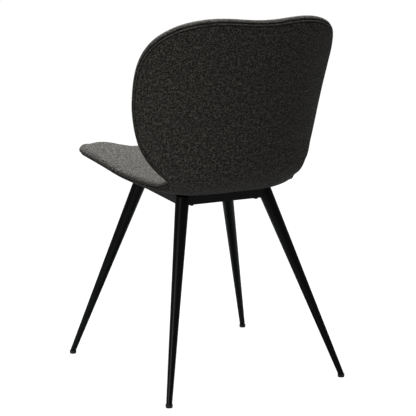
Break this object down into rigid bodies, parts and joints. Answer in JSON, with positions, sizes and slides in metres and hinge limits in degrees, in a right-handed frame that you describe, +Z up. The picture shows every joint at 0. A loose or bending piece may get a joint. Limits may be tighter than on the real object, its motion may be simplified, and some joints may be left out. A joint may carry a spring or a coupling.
{
  "type": "upholstered dining chair",
  "caption": "Armless dining chair: padded fabric bucket shell with wide rounded back and flared seat on splayed tapered black steel legs.",
  "frame": {"origin": "on the floor, under the middle of the chair's box", "axes": "+Z up; the sitter faces -Y; the sitter's left is +X"},
  "size_m": [0.4946, 0.5626, 0.8332],
  "materials": {
    "cover_fabric": "dark charcoal melange wool-type weave",
    "foam": "cut foam",
    "plywood": "raw moulded plywood",
    "coated_steel": "satin black powder coat",
    "zinc_screw": "black oxide",
    "zinc_insert": "zinc plated",
    "glide_plastic": "black moulded plastic",
    "bush_plastic": "black rubber"
  },
  "bodies": {
    "root": {"leg_front_left": "coated_steel", "leg_front_right": "coated_steel", "leg_rear_left": "coated_steel", "leg_rear_right": "coated_steel", "glide_front_left": "glide_plastic", "glide_front_right": "glide_plastic", "glide_rear_left": "glide_plastic", "glide_rear_right": "glide_plastic", "front_rail": "coated_steel", "rear_rail": "coated_steel", "left_rail": "coated_steel", "right_rail": "coated_steel", "frame_screws": "zinc_screw", "screw_washers": "zinc_screw", "threaded_inserts": "zinc_insert", "spacer_bushes": "bush_plastic", "plywood_shell": "plywood", "rear_wadding": "foam", "outer_cover": "cover_fabric", "seat_foam": "foam", "seat_cover": "cover_fabric", "back_foam": "foam", "back_cover": "cover_fabric"}
  },
  "joints": []
}
